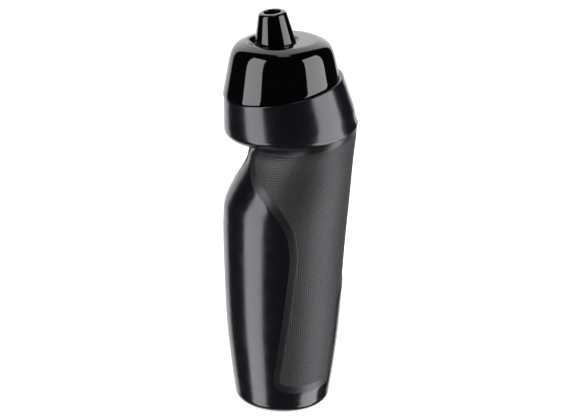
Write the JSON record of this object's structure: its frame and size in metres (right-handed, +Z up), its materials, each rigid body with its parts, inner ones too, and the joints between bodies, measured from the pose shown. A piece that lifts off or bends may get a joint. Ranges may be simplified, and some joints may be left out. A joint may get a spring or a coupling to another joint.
{
  "type": "sports squeeze bottle",
  "caption": "Squeezable sports drinking bottle with a forward-leaning head, a deep finger notch, a threaded cap and a push-pull drinking nozzle.",
  "frame": {"origin": "on the standing plane, under the middle of the bottle's width and overall depth", "axes": "+Z up from the standing plane; -Y is the front, with the finger notch, towards which the head leans; X = 0 is the mirror plane"},
  "size_m": [0.078, 0.0804, 0.2444],
  "materials": {
    "body_plastic": "semi-gloss moulded polyethylene with a matte dotted grip",
    "cap_plastic": "high gloss moulded",
    "nozzle_plastic": "high gloss moulded",
    "gasket_rubber": "matte silicone",
    "o_ring_rubber": "smooth nitrile"
  },
  "bodies": {
    "bottle": {"bottle_body": "body_plastic"},
    "gasket": {"cap_gasket": "gasket_rubber"},
    "cap": {"screw_cap": "cap_plastic"},
    "post_seal": {"post_o_ring": "o_ring_rubber"},
    "nozzle": {"pull_nozzle": "nozzle_plastic"}
  },
  "joints": [
    {"name": "cap_rise", "type": "slide", "parent": "bottle", "child": "gasket", "axis": [0, -0.1908, 0.9816], "range_m": [0, 0.024]},
    {"name": "cap_turn", "type": "hinge", "parent": "gasket", "child": "cap", "pos_m": [0, -0.005, 0.1995], "axis": [0, -0.1908, 0.9816], "range_deg": [0, 1080]},
    {"name": "nozzle_spin", "type": "hinge", "parent": "cap", "child": "post_seal", "pos_m": [0, -0.0073, 0.1995], "axis": [0, -0.1219, 0.9925], "continuous": true},
    {"name": "nozzle_pull", "type": "slide", "parent": "post_seal", "child": "nozzle", "axis": [0, -0.1219, 0.9925], "range_m": [0, 0.007]}
  ],
  "couplings": [
    {"joint": "cap_rise", "follows": "cap_turn", "m_per_rad": 0.0012732}
  ]
}
